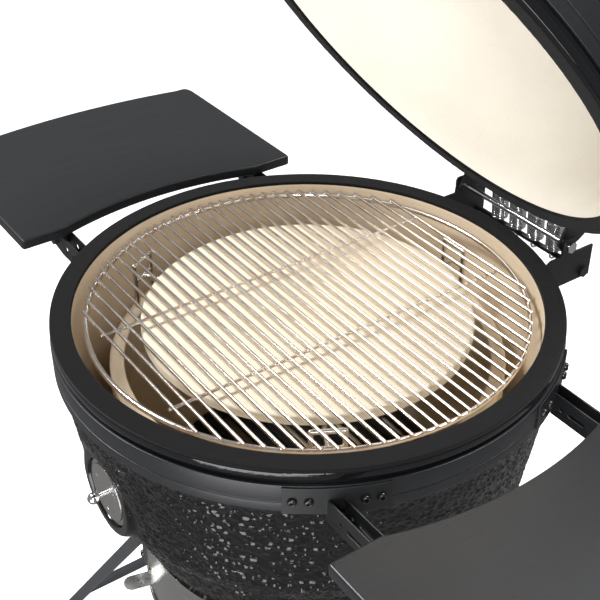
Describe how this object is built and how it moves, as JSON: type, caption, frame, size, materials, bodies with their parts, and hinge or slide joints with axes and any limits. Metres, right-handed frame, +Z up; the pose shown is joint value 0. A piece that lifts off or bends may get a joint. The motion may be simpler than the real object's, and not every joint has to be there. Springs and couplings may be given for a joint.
{
  "type": "kamado ceramic grill",
  "caption": "Egg-shaped ceramic charcoal grill with a hinged domed lid, round cooking grate, folding side shelves and a splayed steel stand.",
  "frame": {"origin": "on the floor, under the middle of the grill's box with the lid open as at rest", "axes": "+Z up, -Y the front with the chip port and draft door, +Y the hinge, +X the right shelf"},
  "size_m": [1.2998, 0.7384, 1.4682],
  "materials": {
    "black_glaze": "gloss, pebbled",
    "fire_clay": "matt, unglazed",
    "steel_band": "satin",
    "black_steel": "satin powder coat",
    "stainless": "brushed",
    "bright_steel": "polished",
    "felt": "matt felt",
    "black_board": "stained, satin",
    "cast_iron": "as cast",
    "rubber": "matt",
    "dial_face": "matt white",
    "needle_red": "matt",
    "gauge_glass": "clear"
  },
  "bodies": {
    "base": {"base_bowl": "black_glaze", "base_gasket": "felt", "base_band": "steel_band", "fire_ring": "fire_clay", "fire_box": "fire_clay", "charcoal_grate": "cast_iron", "deflector_plate": "fire_clay", "deflector_rack": "stainless", "base_hoop": "stainless", "door_rails": "stainless", "ash_pan": "stainless", "leg_front_left": "black_steel", "leg_front_right": "black_steel", "leg_rear_left": "black_steel", "leg_rear_right": "black_steel", "leg_brackets": "black_steel", "leg_bolts": "black_steel", "leg_feet": "rubber", "leg_stretcher_left": "black_steel", "leg_stretcher_right": "black_steel", "port_sleeve": "stainless", "arm_front_left": "black_steel", "arm_front_right": "black_steel", "arm_rear_left": "black_steel", "arm_rear_right": "black_steel", "arm_bolts": "black_steel", "shelf_pins": "black_steel", "hinge_plate_left": "black_steel", "hinge_plate_right": "black_steel", "hinge_bolts": "black_steel", "hinge_rod": "bright_steel", "spring_bar_lower": "bright_steel", "assist_springs": "bright_steel"},
    "cooking_grate": {"cooking_grate": "stainless"},
    "draft_door": {"draft_door": "stainless", "draft_tab": "stainless"},
    "port_shutter": {"port_shutter": "stainless", "port_knob": "bright_steel"},
    "shelf_left": {"shelf_left": "black_board", "shelf_brackets_left": "black_steel", "shelf_screws_left": "bright_steel"},
    "shelf_right": {"shelf_right": "black_board", "shelf_brackets_right": "black_steel", "shelf_screws_right": "bright_steel"},
    "lid": {"lid_dome": "black_glaze", "lid_gasket": "felt", "lid_band": "steel_band", "hinge_arm_left": "black_steel", "hinge_arm_right": "black_steel", "lid_hinge_bolts": "black_steel", "spring_bar_upper": "bright_steel", "lid_handle": "black_board", "handle_posts": "stainless", "gauge_case": "stainless", "gauge_dial": "dial_face", "gauge_glass": "gauge_glass", "vent_collar": "cast_iron"},
    "gauge_needle": {"gauge_needle": "needle_red"},
    "vent_wheel": {"vent_wheel": "cast_iron", "vent_knob_pin": "cast_iron"}
  },
  "joints": [
    {"name": "lid_hinge", "type": "hinge", "parent": "base", "child": "lid", "pos_m": [0, 0.26465, 0.8607], "axis": [1, 0, 0], "range_deg": [-8, 55.4], "stiffness_Nm_per_rad": 60, "springref_deg": -17.19, "deforming": ["assist_springs"]},
    {"name": "shelf_fold_left", "type": "hinge", "parent": "base", "child": "shelf_left", "pos_m": [-0.365, -0.06535, 0.811], "axis": [0, -1, 0], "range_deg": [0, 90]},
    {"name": "shelf_fold_right", "type": "hinge", "parent": "base", "child": "shelf_right", "pos_m": [0.365, -0.06535, 0.811], "axis": [0, 1, 0], "range_deg": [0, 90]},
    {"name": "draft_slide", "type": "hinge", "parent": "base", "child": "draft_door", "pos_m": [0, -0.06535, 0.46], "axis": [0, 0, 1], "range_deg": [0, 29]},
    {"name": "port_turn", "type": "hinge", "parent": "base", "child": "port_shutter", "pos_m": [0, -0.34435, 0.696], "axis": [0, -1, 0], "range_deg": [0, 60]},
    {"name": "vent_turn", "type": "hinge", "parent": "lid", "child": "vent_wheel", "pos_m": [0, 0.31869, 1.29888], "axis": [0, 0.8231, 0.5678], "range_deg": [0, 36]},
    {"name": "needle_turn", "type": "hinge", "parent": "lid", "child": "gauge_needle", "pos_m": [0, 0.01736, 1.4443], "axis": [0, -0.1495, 0.9888], "range_deg": [-270, 0]},
    {"name": "grate_lift", "type": "slide", "parent": "base", "child": "cooking_grate", "axis": [0, 0, 1], "range_m": [0, 0.03]}
  ]
}
